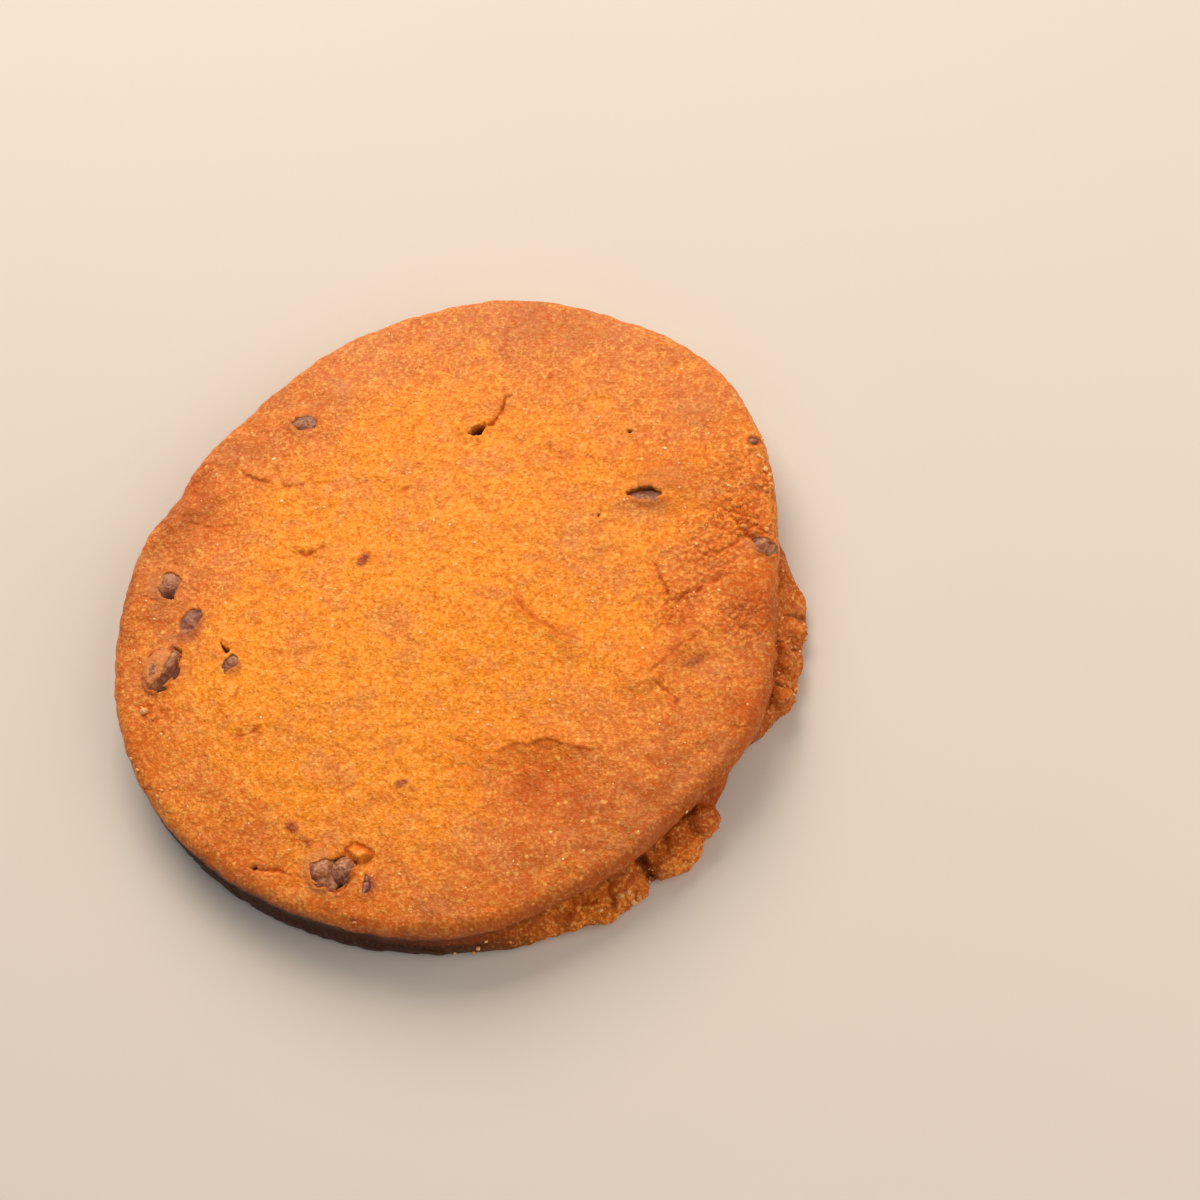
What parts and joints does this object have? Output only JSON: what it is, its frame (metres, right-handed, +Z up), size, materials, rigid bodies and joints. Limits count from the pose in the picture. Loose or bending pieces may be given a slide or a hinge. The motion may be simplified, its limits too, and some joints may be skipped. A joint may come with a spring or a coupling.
{
  "type": "chocolate chip biscuit",
  "caption": "Large round flat biscuit with a golden brown domed top, ragged foot, half-sunk chocolate chips and a small split.",
  "frame": {"origin": "middle of the biscuit's outline, on the flat base", "axes": "+Z up out of the domed top; +X towards the side with the ragged ledge, +Y towards the side with the split"},
  "size_m": [0.1026, 0.1022, 0.0128],
  "materials": {
    "crust": "baked dough crust, matt with a faint greasy sheen, fine sugar grain",
    "chocolate": "baked milk chocolate, dull with a grey bloom",
    "crumb": "pale torn dough and sugar grains"
  },
  "bodies": {
    "root": {"biscuit": "crust"}
  },
  "joints": []
}
